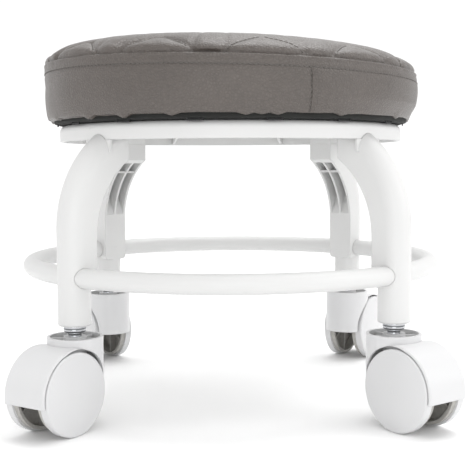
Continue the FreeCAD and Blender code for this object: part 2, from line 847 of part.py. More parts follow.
    plug = new_sketch(body, "plug_plan", "XY_Plane", s.plate_bottom - s.overrun)
    wide = s.plug_width / 2
    outline(plug, [(plug_inner, -wide), (plug_outer, -wide), (plug_outer, wide), (plug_inner, wide)])
    pad(body, "plug", plug, s.overrun + s.plate_height - s.plate_skin - s.plug_gap)

    pilot = ring_line(
        new_sketch(body, "pilot_plan", "XY_Plane", skin_under), leg_screw_at, 0, s.leg_screw_radius + s.screw_gap)
    pocket(body, "pilot", pilot, s.leg_screw_length - s.plate_skin + s.hole_relief)

    tube = new_sketch(body, "ring_tube_hole", "XZ_Plane")
    ring_line(tube, s.leg_circle_radius, ring_height, s.ring_tube_radius + s.ring_gap)
    turned(body, "ring_hole", tube, cuts=True)
    return kept(body, name, place)


def make_ring_arc(name, place):
    """Quarter of the foot ring, its ends plugged into two legs."""
    body = new_body(name)
    tube = new_sketch(body, "tube_section", "XZ_Plane")
    ring_line(tube, s.leg_circle_radius, ring_height, s.ring_tube_radius)
    gap_turn = math.degrees(s.ring_end_gap.value / s.leg_circle_radius.value)
    angle = Size(
        quarter_turn - gap_turn,
        "(360 / Sizes.leg_count - Sizes.ring_end_gap / Sizes.leg_circle_radius * 180 / pi)",
    )
    arc = turned(body, "tube_arc", tube, angle=angle)
    arc.Midplane = True
    doc.recompute()
    return kept(body, name, place)


def make_caster_socket(name, place):
    """Steel socket pressed into the foot of a leg, with a flange under it."""
    body = new_body(name)
    side = new_sketch(body, "socket_section", "XZ_Plane")
    bottom = s.leg_foot_height - s.flange_height
    top = s.leg_foot_height + s.socket_height
    bore = s.stem_radius + s.stem_gap
    outline(side, [
        (bore, bottom),
        (s.collar_radius, bottom),
        (s.collar_radius, s.leg_foot_height),
        (s.socket_radius, s.leg_foot_height),
        (s.socket_radius, top),
        (bore, top),
    ])
    turned(body, "socket_turned", side)
    return kept(body, name, place)


def make_stem(name, place):
    """Steel pin: held in the socket above its collar, carrying the hood below."""
    body = new_body(name)
    side = new_sketch(body, "stem_section", "XZ_Plane")
    collar_top = s.leg_foot_height - s.flange_height
    collar_bottom = collar_top - s.collar_height
    tip = s.boss_bottom - s.stem_below_boss
    groove_top = s.boss_bottom
    groove_bottom = groove_top - s.clip_thickness - s.clip_gap * 2
    neck = s.stem_radius - s.clip_groove
    top = collar_top + s.stem_in_socket
    outline(side, [
        (0, tip),
        (neck, tip),
        (s.stem_radius, tip + s.clip_groove),
        (s.stem_radius, groove_bottom),
        (neck, groove_bottom),
        (neck, groove_top),
        (s.stem_radius, groove_top),
        (s.stem_radius, collar_bottom),
        (s.collar_radius - s.collar_bevel, collar_bottom),
        (s.collar_radius, collar_bottom + s.collar_bevel),
        (s.collar_radius, collar_top),
        (s.stem_radius, collar_top),
        (s.stem_radius, top - s.clip_groove),
        (neck, top),
        (0, top),
    ])
    turned(body, "stem_turned", side)
    return kept(body, name, place)


def make_stem_clip(name, place):
    """Snap ring in the stem's groove, which keeps the hood on."""
    body = new_body(name)
    top = s.boss_bottom - s.clip_gap
    plan = new_sketch(body, "clip_plan", "XY_Plane", top - s.clip_thickness)
    ring_line(plan, 0, 0, s.clip_radius)
    ring_line(plan, 0, 0, s.stem_radius - s.clip_groove + s.press_gap)
    pad(body, "clip_ring", plan, s.clip_thickness)
    mouth = new_sketch(body, "clip_mouth", "XY_Plane", top - s.clip_thickness)
    half = s.stem_radius / 2
    outline(mouth, [(-s.clip_radius * 2, -half), (0, -half), (0, half), (-s.clip_radius * 2, half)])
    pocket(body, "clip_open", mouth, s.clip_thickness, back=True)
    return kept(body, name, place)


def make_hood(name, place):
    """Caster hood: round crown about the stem, arched back over both wheels, web for the axle."""
    body = new_body(name)
    stand = new_sketch(body, "crown_plan", "XY_Plane", s.skirt_bottom)
    ring_line(stand, 0, 0, s.crown_radius)
    pad(body, "crown", stand, s.crown_top - s.skirt_bottom)

    arch = new_sketch(body, "arch_section", "YZ_Plane", s.trail)
    axis_line(arch, (-s.hood_half_width, s.wheel_radius), (s.hood_half_width, s.wheel_radius))
    top = s.wheel_radius + s.hood_radius
    well = s.hood_radius - s.hood_wall
    outline(arch, [
        (-s.hood_half_width, s.wheel_radius + well),
        (s.hood_half_width, s.wheel_radius + well),
        (s.hood_half_width, top - s.hood_lip_curve, s.hood_lip_curve),
        (s.hood_half_width - s.hood_lip_curve, top),
        (s.hood_lip_curve - s.hood_half_width, top, s.hood_lip_curve),
        (-s.hood_half_width, top - s.hood_lip_curve),
    ])
    turned(body, "arch", arch, axis="Axis0", angle=s.hood_back_angle, angle_back=s.hood_front_angle)

    inside = new_sketch(body, "inside_plan", "XY_Plane", s.skirt_bottom)
    ring_line(inside, 0, 0, s.crown_radius - s.crown_wall)
    pocket(body, "inside", inside, s.wheel_radius + well - s.boss_top_step - s.skirt_bottom, back=True)

    hollow = new_sketch(body, "wheel_well", "XZ_Plane")
    ring_line(hollow, s.trail, s.wheel_radius, well)
    pocket(body, "wheel_wells", hollow, s.hood_side * 2, both=True)

    clear = new_sketch(body, "side_opening", "XZ_Plane", s.hood_side)
    ring_line(clear, s.trail, s.wheel_radius, s.wheel_radius + s.hood_side_gap)
    beyond = s.crown_radius + s.hole_relief - s.hood_side
    mirrored(body, "side_openings", pocket(body, "side_opening_cut", clear, beyond, back=True), True)

    gap = new_sketch(body, "crescent", "XZ_Plane", s.hood_side)
    ring_line(gap, s.trail - s.crescent_shift, s.wheel_radius + s.crescent_shift, s.crescent_radius)
    mirrored(body, "crescents", pocket(body, "crescent_cut", gap, beyond, back=True), True)

    corner = new_sketch(body, "skirt_corner", "YZ_Plane")
    outline(corner, [
        (s.skirt_half_width - s.skirt_curve, s.skirt_bottom, s.skirt_curve),
        (s.skirt_half_width, s.skirt_bottom + s.skirt_curve),
        (s.skirt_half_width + s.overrun, s.skirt_bottom + s.skirt_curve),
        (s.skirt_half_width + s.overrun, s.skirt_bottom - s.overrun),
        (s.skirt_half_width - s.skirt_curve, s.skirt_bottom - s.overrun),
    ])
    rounded = pocket(body, "skirt_corner_cut", corner, s.crown_radius + s.overrun)
    mirrored(body, "skirt_corners_cut", rounded, True)

    bowl = new_sketch(body, "bowl_plan", "XY_Plane", s.crown_floor)
    ring_line(bowl, 0, 0, s.crown_radius - s.crown_wall)
    ring_line(bowl, 0, 0, s.boss_radius)
    pocket(body, "bowl", bowl, s.crown_top - s.crown_floor, back=True)
    spoke = new_sketch(body, "spoke_side", "XZ_Plane")
    reach = s.crown_radius - s.crown_wall / 2
    outline(spoke, [
        (s.boss_radius / 2, s.crown_floor - s.boss_top_step),
        (reach, s.crown_floor - s.boss_top_step),
        (reach, s.crown_top - s.boss_top_step),
        (s.boss_radius / 2, s.crown_top - s.boss_top_step),
    ])
    around(body, "spokes", pad(body, "spoke", spoke, s.crown_rib_thickness, both=True), s.crown_rib_count, False)

    boss = new_sketch(body, "boss_plan", "XY_Plane", s.boss_bottom)
    ring_line(boss, 0, 0, s.boss_radius)
    pad(body, "boss", boss, s.crown_floor - s.boss_bottom)

    web = new_sketch(body, "web_side", "XZ_Plane")
    outline(web, [
        (s.boss_radius / 2, s.boss_bottom),
        (s.clip_radius + s.clip_clearance, s.boss_bottom),
        (s.trail, s.wheel_radius - s.eye_radius / 2),
        (s.trail + s.eye_radius / 2, s.wheel_radius),
        (s.trail + s.web_reach, s.wheel_radius + well + s.hood_wall / 2 - s.boss_top_step),
        (s.boss_radius / 2, s.wheel_radius + well),
    ])
    pad(body, "web", web, s.web_thickness, both=True)
    eye = new_sketch(body, "eye_side", "XZ_Plane")
    ring_line(eye, s.trail, s.wheel_radius, s.eye_radius)
    pad(body, "eye", eye, s.eye_half * 2, both=True)

    bore = new_sketch(body, "stem_bore", "XY_Plane", s.skirt_bottom)
    ring_line(bore, 0, 0, s.stem_radius + s.stem_gap)
    pocket(body, "stem_bored", bore, s.crown_top - s.skirt_bottom, back=True)
    bore = new_sketch(body, "axle_bore", "XZ_Plane")
    ring_line(bore, s.trail, s.wheel_radius, s.axle_radius + s.press_gap)
    pocket(body, "axle_bored", bore, s.eye_half * 2, both=True)
    return kept(body, name, place)


def make_axle(name, place):
    """Steel axle through the hood's eye, one wheel on each end."""
    body = new_body(name)
    side = new_sketch(body, "axle_side", "XZ_Plane")
    ring_line(side, s.trail, s.wheel_radius, s.axle_radius)
    pad(body, "axle_pin", side, s.axle_half * 2, both=True)
    return kept(body, name, place)


def make_wheel(name, place):
    """Wheel: domed closed face outside, ribbed hollow inside. Its axle lies along Y, face to +Y."""
    body = new_body(name)
    side = new_sketch(body, "wheel_section", "YZ_Plane")
    bore = s.axle_radius + s.axle_gap
    bore_end = s.axle_half + s.hole_relief
    face_inside = s.wheel_outer - s.wheel_face_wall
    inner_tread = s.wheel_radius - s.wheel_step_height
    rim_inside = inner_tread - s.wheel_rim_wall
    flat = s.wheel_radius - s.wheel_edge_curve
    dome_edge = s.wheel_outer
    axis_line(side, (0, 0), (s.wheel_outer, 0))
    outline(side, [
        (s.wheel_hub_face, bore),
        (bore_end, bore),
        (bore_end, 0),
        (s.wheel_outer + s.wheel_dome, 0, arc_radius(flat * 2, s.wheel_dome)),
        (dome_edge, flat, s.wheel_edge_curve),
        (dome_edge - s.wheel_edge_curve, s.wheel_radius),
        (s.wheel_step, s.wheel_radius),
        (s.wheel_step, inner_tread),
        (s.wheel_inner, inner_tread),
        (s.wheel_inner, rim_inside),
        (face_inside, rim_inside),
        (face_inside, s.wheel_hub_radius),
        (s.wheel_hub_face, s.wheel_hub_radius),
    ])
    turned(body, "wheel_turned", side, axis="Axis0")
    rib = new_sketch(body, "wheel_rib_plan", "YZ_Plane")
    outline(rib, [
        (s.wheel_inner + s.wheel_rib_inset, (s.wheel_hub_radius + bore) / 2),
        (face_inside + s.press_gap, (s.wheel_hub_radius + bore) / 2),
        (face_inside + s.press_gap, rim_inside + s.wheel_rim_wall / 2),
        (s.wheel_inner + s.wheel_rib_inset, rim_inside + s.wheel_rim_wall / 2),
    ])
    made = pad(body, "wheel_rib", rib, s.wheel_rib_thickness, both=True)
    before = made.Shape.Volume
    spokes = body.newObject("PartDesign::PolarPattern", "wheel_ribs")
    spokes.Originals = [made]
    spokes.Axis = (origin_item(body, "Y_Axis"), [""])
    spokes.Angle = 360
    spokes.Occurrences = round(s.wheel_rib_count.value)
    body.Tip = spokes
    sized(body, spokes, False, before)
    return kept(body, name, place)


make_cover_top()
make_cover_band()
make_core()
make_staples()
make_screws()
make_seat_plate()
toe = s.caster_toe.value
for number, corner in enumerate(leg_names):
    turn = first_leg_turn + quarter_turn * number
    outward = Rotation(upright, turn)
    swung = Rotation(upright, turn + toe)
    toe = -toe
    foot = outward.multVec(Vector(s.leg_circle_radius.value, 0, 0))
    hub = Vector(s.trail.value, 0, s.wheel_radius.value)
    make_leg(corner + "_leg", Placement(Vector(), outward))
    make_ring_arc(ring_names[number], Placement(Vector(), Rotation(upright, turn + quarter_turn / 2)))
    make_caster_socket(corner + "_caster_socket", Placement(foot, outward))
    make_stem(corner + "_stem", Placement(foot, outward))
    make_stem_clip(corner + "_stem_clip", Placement(foot, outward))
    make_hood(corner + "_hood", Placement(foot, swung))
    make_axle(corner + "_axle", Placement(foot, swung))
    wheel_at = foot + swung.multVec(hub)
    make_wheel(corner + "_wheel_left", Placement(wheel_at, swung))
    make_wheel(corner + "_wheel_right", Placement(wheel_at, swung * Rotation(upright, 180)))

doc.recompute()
for thing in doc.Objects:
    if "Invalid" in thing.State or "Error" in thing.State:
        raise ValueError("%s did not compute: %s" % (thing.Name, thing.State))
for thing in sub_parts:
    if thing.Shape.isNull() or not thing.Shape.isValid():
        raise ValueError("%s has no valid shape" % thing.Label)
for thing in sub_parts:
    thing.Shape.exportStep("parts/%s.step" % thing.Label)
    print("%-30s %3d solid %10.1f mm3" % (thing.Label, len(thing.Shape.Solids), thing.Shape.Volume))
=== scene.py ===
import json
import math

import bmesh
import bpy
from mathutils import Matrix, Vector, noise
from mathutils.bvhtree import BVHTree


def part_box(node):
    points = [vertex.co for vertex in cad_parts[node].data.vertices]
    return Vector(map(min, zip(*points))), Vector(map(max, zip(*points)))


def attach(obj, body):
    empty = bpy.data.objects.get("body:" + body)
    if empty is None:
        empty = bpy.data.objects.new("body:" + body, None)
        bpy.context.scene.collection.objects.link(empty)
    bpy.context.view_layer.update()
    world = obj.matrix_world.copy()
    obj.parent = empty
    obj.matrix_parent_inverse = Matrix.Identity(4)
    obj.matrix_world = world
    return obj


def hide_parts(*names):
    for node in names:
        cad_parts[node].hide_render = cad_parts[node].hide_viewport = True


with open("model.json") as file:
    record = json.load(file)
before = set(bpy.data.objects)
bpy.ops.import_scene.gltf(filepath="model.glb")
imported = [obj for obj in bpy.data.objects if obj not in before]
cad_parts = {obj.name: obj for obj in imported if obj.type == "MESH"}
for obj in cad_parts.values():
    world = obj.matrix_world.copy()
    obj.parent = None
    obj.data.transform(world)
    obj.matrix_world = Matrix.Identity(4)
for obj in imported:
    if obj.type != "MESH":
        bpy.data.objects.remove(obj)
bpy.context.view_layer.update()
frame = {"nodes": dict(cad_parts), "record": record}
mm = 0.001


# Frame: four bowed legs, a foot ring in four arcs and the plate that they carry, moulded in white
# plastic. The mould leaves soft edges and a faint orange-peel skin, a little duller where feet rub.
class Wire:
    """A socket of a finish. Arithmetic on it adds Math nodes."""

    def __init__(self, finish, socket):
        self.finish = finish
        self.socket = socket

    def worked(self, operation, *values):
        return self.finish.node("Math", {"operation": operation}, dict(enumerate(values)))

    def __add__(self, other):
        return self.worked("ADD", self, other)

    def __sub__(self, other):
        return self.worked("SUBTRACT", self, other)

    def __rsub__(self, other):
        return self.worked("SUBTRACT", other, self)

    def __mul__(self, other):
        return self.worked("MULTIPLY", self, other)

    def __truediv__(self, other):
        return self.worked("DIVIDE", self, other)

    def __pow__(self, other):
        return self.worked("POWER", self, other)

    def __lt__(self, other):
        return self.worked("LESS_THAN", self, other)

    def __abs__(self):
        return self.worked("ABSOLUTE", self)

    __radd__ = __add__
    __rmul__ = __mul__


class Finish:
    """A material in the making: its shader, and the wires that feed it."""

    def __init__(self, name, **constants):
        self.material = bpy.data.materials.new(name)
        self.material.use_nodes = True
        self.tree = self.material.node_tree
        self.shader = self.tree.nodes["Principled BSDF"]
        for socket, value in constants.items():
            self.shader.inputs[socket.replace("_", " ")].default_value = value
        self.place = self.node("TexCoord", out="Object")

    def node(self, kind, settings=None, sockets=None, out=0):
        made = self.tree.nodes.new("ShaderNode" + kind)
        for name, value in (settings or {}).items():
            setattr(made, name, value)
        for name, value in (sockets or {}).items():
            self.feed(made.inputs[name], value)
        return Wire(self, made.outputs[out])

    def feed(self, socket, value):
        if isinstance(value, Wire):
            self.tree.links.new(value.socket, socket)
        else:
            socket.default_value = value

    def speckle(self, scale, detail=2, rough=0.5, place=None):
        return self.node("TexNoise", {}, {
            "Vector": place or self.place, "Scale": scale, "Detail": detail, "Roughness": rough})

    def blend(self, share, first, second):
        return self.node("Mix", {"data_type": "RGBA"}, {0: share, 6: first, 7: second}, out=2)

    def raised(self, height, depth, strength, under=None):
        sockets = {"Height": height, "Distance": depth, "Strength": strength}
        if under is not None:
            sockets["Normal"] = under
        return self.node("Bump", {}, sockets)

    def set(self, **feeds):
        for socket, value in feeds.items():
            self.feed(self.shader.inputs[socket.replace("_", " ")], value)
        return self.material


def dressed(node, material):
    """Gives a CAD node its finish."""
    part = frame["nodes"][node]
    part.data.materials.clear()
    part.data.materials.append(material)
    return part


plastic_ior = 1.49
skin_depth = 0.05 * mm
painted_shade_grey = (0.40, 0.40, 0.39, 1)


def moulded_white(name, light, dark, gloss, edge, painted_shade=None):
    """Moulded plastic: slow drift in tone, fine skin, edges eased by the mould, and painted shade where a mask is
    given.
    """
    finish = Finish(name, IOR=plastic_ior)
    drift = finish.speckle(9, 3)
    skin = finish.speckle(700, 1)
    scuff = finish.speckle(55, 4, 0.7)
    eased = finish.node("Bevel", {"samples": 4}, {"Radius": edge})
    tone = finish.blend(drift, dark, light)
    if painted_shade:
        # Painted shade: the tone is greyed towards a flat grey where the mask says the surface lies in shade.
        tone = finish.blend(painted_shade(finish), tone, painted_shade_grey)
    return finish.set(
        Base_Color=tone,
        Roughness=gloss + drift * 0.08 + scuff * 0.1,
        Normal=finish.raised(skin, skin_depth, 0.35, eased),
    )


frame_light = (0.675, 0.675, 0.67, 1)
frame_dark = (0.64, 0.64, 0.635, 1)
frame_gloss = 0.3
frame_edge = 0.7 * mm
frame_white = moulded_white("frame_white", frame_light, frame_dark, frame_gloss, frame_edge)
corners = ("back_right", "back_left", "front_left", "front_right")
ring_arcs = ("foot_ring_back", "foot_ring_left", "foot_ring_front", "foot_ring_right")
for node in ("seat_plate",) + ring_arcs + tuple(corner + "_leg" for corner in corners):
    dressed(node, frame_white)


# Casters: glossy white hoods over white wheel faces, on a chromed stem. Between the faces the wheel
# is dark nylon, which shows as a gap below the hood and as a crescent beside its rim.
caster_light = (0.655, 0.655, 0.66, 1)
caster_dark = (0.625, 0.625, 0.63, 1)
stem_from_middle = (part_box("back_right_stem")[0][0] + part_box("back_right_stem")[1][0]) / 2
pocket_radius = 15.3 * mm
pocket_floor = 51.5 * mm
painted_shade_rise = 3 * mm


def pocket_painted_shade(finish):
    """Share of painted shade in the ribbed pocket on top of a hood: the pocket floor is greyed where the deep pocket
    lies in shade.
    """
    folded = finish.node("VectorMath", {"operation": "ABSOLUTE"}, {0: finish.place})
    spot = finish.node("SeparateXYZ", {}, {0: folded})
    x, y, z = (Wire(finish, spot.socket.node.outputs[axis]) for axis in "XYZ")
    arm = finish.node("CombineXYZ", {}, {"X": x - stem_from_middle, "Y": y - stem_from_middle, "Z": 0.0})
    reach = finish.node("VectorMath", {"operation": "LENGTH"}, {0: arm}, out="Value")
    height = (z - pocket_floor).worked("MULTIPLY", z - pocket_floor, 1 / painted_shade_rise)
    fall = height.worked("SUBTRACT", 1.0, abs(height))
    return fall.worked("MAXIMUM", fall, 0.0) * (reach < pocket_radius)


hood_gloss = 0.22
hood_edge = 0.4 * mm
# The hoods get painted shade on the floor of their ribbed pockets.
hood_white = moulded_white("hood_white", caster_light, caster_dark, hood_gloss, hood_edge, pocket_painted_shade)

wheel_edge = 0.5 * mm
nylon_dark = (0.35, 0.34, 0.32, 1)
nylon_pale = (0.50, 0.488, 0.46, 1)
tread_edge = 11.4 * mm
hollow_radius = 22.9 * mm
face_inside = 14.9 * mm
rolls = {joint["child"]: joint for joint in frame["record"]["behaviour"]["joints"] if "_roll_" in joint["name"]}


def wheel_paint(corner):
    """White outside; dark tread, and a dark hollow behind the white face."""
    finish = Finish(corner + "_wheel_paint", IOR=plastic_ior)
    roll = rolls[corner + "_wheel_left"]
    arm = finish.node("VectorMath", {"operation": "SUBTRACT"}, {0: finish.place, 1: roll["pos_m"]})
    along = finish.node("VectorMath", {"operation": "DOT_PRODUCT"}, {0: arm, 1: roll["axis"]}, out="Value")
    square = finish.node("VectorMath", {"operation": "CROSS_PRODUCT"}, {0: arm, 1: roll["axis"]})
    reach = finish.node("VectorMath", {"operation": "LENGTH"}, {0: square}, out="Value")
    from_middle = abs(along)
    hollow = (from_middle < face_inside) * (reach < hollow_radius)
    inner = hollow.worked("MAXIMUM", hollow, from_middle < tread_edge)
    drift = finish.speckle(30, 3)
    mould_lines = finish.speckle(420, 1)
    skin = finish.speckle(900, 1)
    eased = finish.node("Bevel", {"samples": 4}, {"Radius": wheel_edge})
    white = finish.blend(drift, caster_dark, caster_light)
    nylon = finish.blend(mould_lines, nylon_dark, nylon_pale)
    return finish.set(
        Base_Color=finish.blend(inner, white, nylon),
        Roughness=0.24 + drift * 0.1 + inner * 0.2,
        Normal=finish.raised(skin, skin_depth, 0.3, eased),
    )


streak_shade = 0.85
streak_depth = 0.03 * mm
groove_and_reflection_pitch = 1.0 * mm
groove_depth = -0.15 * mm


def bare_metal(name, shade, rough, grain):
    """Plated steel, with streaks left by drawing and tumbling."""
    finish = Finish(name, Metallic=1.0)
    streak = finish.speckle(grain, 3)
    return finish.set(
        Base_Color=finish.blend(streak, tuple(part * streak_shade for part in shade) + (1,), shade + (1,)),
        Roughness=rough + streak * 0.12,
        Normal=finish.raised(streak, streak_depth, 0.2),
    )


def turned_chrome():
    """Chrome over turned steel: the tool's grooves are bumped in, and dark level lines along them in the colour are
    painted reflection of the darker parts round the stem.
    """
    finish = Finish("turned_chrome", Metallic=1.0)
    height = finish.node("SeparateXYZ", {}, {0: finish.place}, out="Z")
    groove = height.worked("PINGPONG", height, groove_and_reflection_pitch) / groove_and_reflection_pitch
    line = groove ** 1.2
    streak = finish.speckle(220, 3)
    return finish.set(
        # Painted reflection: the dark level bands in the colour stand in for the dark bowl and leg undersides
        # mirrored in the chrome.
        Base_Color=finish.blend(line, (0.60, 0.61, 0.63, 1), (0.08, 0.085, 0.09, 1)),
        Roughness=0.08 + streak * 0.12,
        Normal=finish.raised(line, groove_depth, 0.8),
    )


chrome = turned_chrome()
zinc = bare_metal("zinc_plate", (0.62, 0.63, 0.62), 0.3, 400)
for corner in corners:
    dressed(corner + "_hood", hood_white)
    wheel_finish = wheel_paint(corner)
    for side in ("left", "right"):
        dressed(corner + "_wheel_" + side, wheel_finish)
    dressed(corner + "_stem", chrome)
    dressed(corner + "_caster_socket", chrome)
    dressed(corner + "_axle", zinc)
    dressed(corner + "_stem_clip", zinc)
for node in ("leg_screws", "board_screws"):
    dressed(node, zinc)
# Painted shade: the staples are coloured near-black because they sit in shade under the cushion, where bare zinc
# would mirror the bright floor.
shaded_staple_wire = bare_metal("shaded_staple_wire", (0.05, 0.05, 0.052), 0.5, 400)
dressed("cover_staples", shaded_staple_wire)


# Seat board: a plywood disc inside the cushion. Its plies run level, so they show as stripes
# round the edge, and the faces have a stretched grain.
ply = Finish("birch_ply", IOR=1.5)
ply_step = 1.5 * mm
ply_grain_depth = 0.1 * mm
pale_ply = (0.62, 0.44, 0.26, 1)
dark_ply = (0.36, 0.22, 0.11, 1)
ply_height = ply.node("SeparateXYZ", {}, {0: ply.place}, out="Z")
ply_stripe = ply_height.worked("PINGPONG", ply_height, ply_step) / ply_step
stretched = ply.node("Mapping", {}, {"Vector": ply.place, "Scale": (8, 160, 160)})
ply_grain = ply.speckle(1, 5, 0.6, stretched)
dressed("seat_board", ply.set(
    Base_Color=ply.blend(ply_grain * 0.6 + ply_stripe * 0.3, pale_ply, dark_ply),
    Roughness=0.6 + ply_grain * 0.2,
    Normal=ply.raised(ply_grain, ply_grain_depth, 0.4),
))


# Cushion: foam under a cover of grey-brown imitation leather, a round top panel sewn to a boxing
# band. Twelve pointed petals are quilted along the seam, and a star round the middle.
seam_radius = 127.5 * mm
seam_height = 223.7 * mm
crown_height = 241.5 * mm
crown_power = 6.0
hem_height = 189.4 * mm
hem_radius = 125.4 * mm
band_bulge = 3.6 * mm
swell = 1.6 * mm
lean = 3.5 * mm
crown_lean = 0.3 * mm
petal_count = 12
petal_turn = math.radians(8)
petal_spread = math.radians(10.7)
petal_tip = 112 * mm
star_point = 74 * mm
star_heart = 40 * mm
cell = 5 * mm
slack_spots = ((-82, 15, 0.75), (-38, 26, 0.45))


def crown_at(radius):
    """Height of the panel at a distance from the middle, before it is quilted."""
    share = min(radius / seam_radius, 1)
    return seam_height + (crown_height - seam_height) * math.sqrt(1 - share ** crown_power)


def band_at(share):
    """Radius of the band, from 0 at the seam to 1 at the hem."""
    straight = seam_radius + (hem_radius - seam_radius) * share ** 3
    return straight + band_bulge * math.sin(math.pi * share ** 0.85)


petal_half = math.pi / petal_count
stitch_lines = (
    (Vector((petal_tip, 0)), Vector((math.cos(petal_spread), math.sin(petal_spread))) * seam_radius),
    (Vector((star_point, 0)), Vector((math.cos(petal_half), math.sin(petal_half))) * star_heart),
)


def from_stitching(x, y):
    """Distance in plan to the nearest quilting line. All petals are folded onto one half of one."""
    turn = (math.atan2(y, x) - petal_turn + petal_half) % (2 * petal_half) - petal_half
    reach = math.hypot(x, y)
    spot = Vector((math.cos(turn), abs(math.sin(turn)))) * reach
    nearest = seam_radius
    for start, stop in stitch_lines:
        way = stop - start
        share = min(max((spot - start).dot(way) / way.length_squared, 0), 1)
        nearest = min(nearest, (spot - start - way * share).length)
    return nearest


def dip(distance, width):
    """Bell-shaped falloff from a stitched line."""
    return math.exp(-(distance / width) ** 2)


def between(first, second):
    """Smallest angle between two directions."""
    return abs((first - second + math.pi) % (2 * math.pi) - math.pi)


def pull(turn):
    """How hard the quilting is drawn down: it was left slack in two places at the front."""
    return 1 - sum(slack * dip(between(turn, math.radians(at)), math.radians(width))
                   for at, width, slack in slack_spots)


shoulder_insets = (3.0 * mm, 1.2 * mm, 0.25 * mm, 0)
shell = bmesh.new()
cells = round(2 * seam_radius / cell)
bmesh.ops.create_grid(shell, x_segments=cells, y_segments=cells, size=1)
for vert in shell.verts:
    x, y = vert.co.x, vert.co.y
    vert.co.x = x * math.sqrt(1 - y * y / 2) * (seam_radius - shoulder_insets[0])
    vert.co.y = y * math.sqrt(1 - x * x / 2) * (seam_radius - shoulder_insets[0])
    reach = math.hypot(vert.co.x, vert.co.y)
    vert.co.z = crown_at(reach) - swell * min(1, (seam_radius - reach) / cell)
band_rows = (0.035, 0.10, 0.16, 0.20, 0.24, 0.32, 0.44, 0.56, 0.68, 0.79, 0.88, 0.95, 0.985)
hem_fold = 1.2 * mm
hem_step = 3.2 * mm
cushion_floor = 187.6 * mm
cushion_floor_radius = 100 * mm
rows = [(seam_radius - inset, crown_at(seam_radius - inset)) for inset in shoulder_insets[1:]]
rows += [(band_at(share) - swell * math.sin(math.pi * share), seam_height + (hem_height - seam_height) * share)
         for share in band_rows]
rows += [
    (hem_radius - hem_fold / 2, hem_height),
    (hem_radius - hem_step * 0.7, hem_height + hem_fold / 2),
    (hem_radius - hem_step, hem_height),
    (hem_radius - hem_step - hem_fold, cushion_floor),
    (cushion_floor_radius, cushion_floor),
]
rim = [edge for edge in shell.edges if edge.is_boundary]
for radius, height in rows:
    grown = bmesh.ops.extrude_edge_only(shell, edges=rim)["geom"]
    rim = [item for item in grown if isinstance(item, bmesh.types.BMEdge)]
    for vert in (item for item in grown if isinstance(item, bmesh.types.BMVert)):
        outward = Vector((vert.co.x, vert.co.y)).normalized() * radius
        vert.co = (outward.x, outward.y, height)
bmesh.ops.contextual_create(shell, geom=rim)
bmesh.ops.recalc_face_normals(shell, faces=shell.faces)
quilt_dip = 1.2 * mm
quilt_dip_width = 5 * mm
sewn_from = 0.65
held = []
for vert in shell.verts:
    reach = math.hypot(vert.co.x, vert.co.y)
    on_panel = vert.co.z > seam_height + hem_fold and reach < seam_radius
    if on_panel:
        line = from_stitching(vert.co.x, vert.co.y)
        near = dip(line, quilt_dip_width) * pull(math.atan2(vert.co.y, vert.co.x))
        vert.co.z -= quilt_dip * near
        hold = near > sewn_from
    else:
        hold = abs(vert.co.z - seam_height) < 1.5 * mm or vert.co.z < hem_height + 3 * mm
    if hold:
        held.append(vert.index)
cushion_mesh = bpy.data.meshes.new("cushion_cover")
shell.to_mesh(cushion_mesh)
shell.free()
cushion = bpy.data.objects.new("cushion_cover", cushion_mesh)
bpy.context.scene.collection.objects.link(cushion)

most_swell = 4.5 * mm
grip = cushion.vertex_groups.new(name="sewn")
grip.add(held, 1.0, "REPLACE")
puff = cushion.modifiers.new("puff", "CLOTH")
puff.settings.use_pressure = True
puff.settings.uniform_pressure_force = 4
puff.settings.effector_weights.gravity = 0
puff.settings.vertex_group_mass = grip.name
puff.settings.tension_stiffness = 12
puff.settings.compression_stiffness = 12
puff.settings.bending_stiffness = 0.4
puff.collision_settings.use_collision = False
last_frame = 20
puff.point_cache.frame_start = 1
puff.point_cache.frame_end = last_frame
for step in range(1, last_frame + 1):
    bpy.context.scene.frame_set(step)
puffed = cushion.evaluated_get(bpy.context.evaluated_depsgraph_get()).to_mesh()
moves = [after.co - before.co for after, before in zip(puffed.vertices, cushion_mesh.vertices)]
for vert, move in zip(cushion_mesh.vertices, moves):
    if move.length > most_swell:
        move = move.normalized() * most_swell
    vert.co += move
cushion.modifiers.remove(puff)
bpy.context.scene.frame_set(1)
print("cushion swelled by up to %.1f mm" % (max(move.length for move in moves) / mm))

smooth = cushion.modifiers.new("smooth", "SUBSURF")
smooth.levels = smooth.render_levels = 2
fine_mesh = bpy.data.meshes.new_from_object(cushion.evaluated_get(bpy.context.evaluated_depsgraph_get()))
cushion.modifiers.clear()
cushion.vertex_groups.clear()
cushion.data = fine_mesh
fine_mesh.name = "cushion_cover"
bpy.data.meshes.remove(cushion_mesh)

topstitch_drop = 7.0 * mm
joint_turn = math.radians(-69.5)
gape_turn = math.radians(-96.8)
hem_tips = {-155: 1.5, -135.5: 2.4, -122.2: 2.3, -107.3: 1.5, -87.2: 1.6, -83: 1.2, -78.4: 1.5, -59: 1.4, -31.8: 1.6,
            -8: 1.9, 14: 1.4, 33: 2.1, 58: 1.3, 71: 1.9, 96: 1.5, 119: 2.0, 141: 1.3, 163: 1.8, 178: 1.5}
tip_half = math.radians(2.6)
tip_rise = 5 * mm
gather_turns = [petal_turn + 2 * petal_half * number + side * petal_spread
                for number in range(petal_count) for side in (-1, 1)]
gather_depth, gather_width, gather_reach, gather_start = 1.4 * mm, 2.6 * mm, 8 * mm, 1.5 * mm
quilt_groove, quilt_groove_width = 1.2 * mm, 1.5 * mm
quilt_hollow, quilt_hollow_width = 0.5 * mm, 5 * mm
pucker_height, pucker_reach, pucker_count = 0.7 * mm, 7 * mm, 17
topstitch_groove, topstitch_groove_width = 0.35 * mm, 1.1 * mm
slack_height, slack_reach, slack_count, slack_tall = 0.7 * mm, 16 * mm, 5, 28 * mm
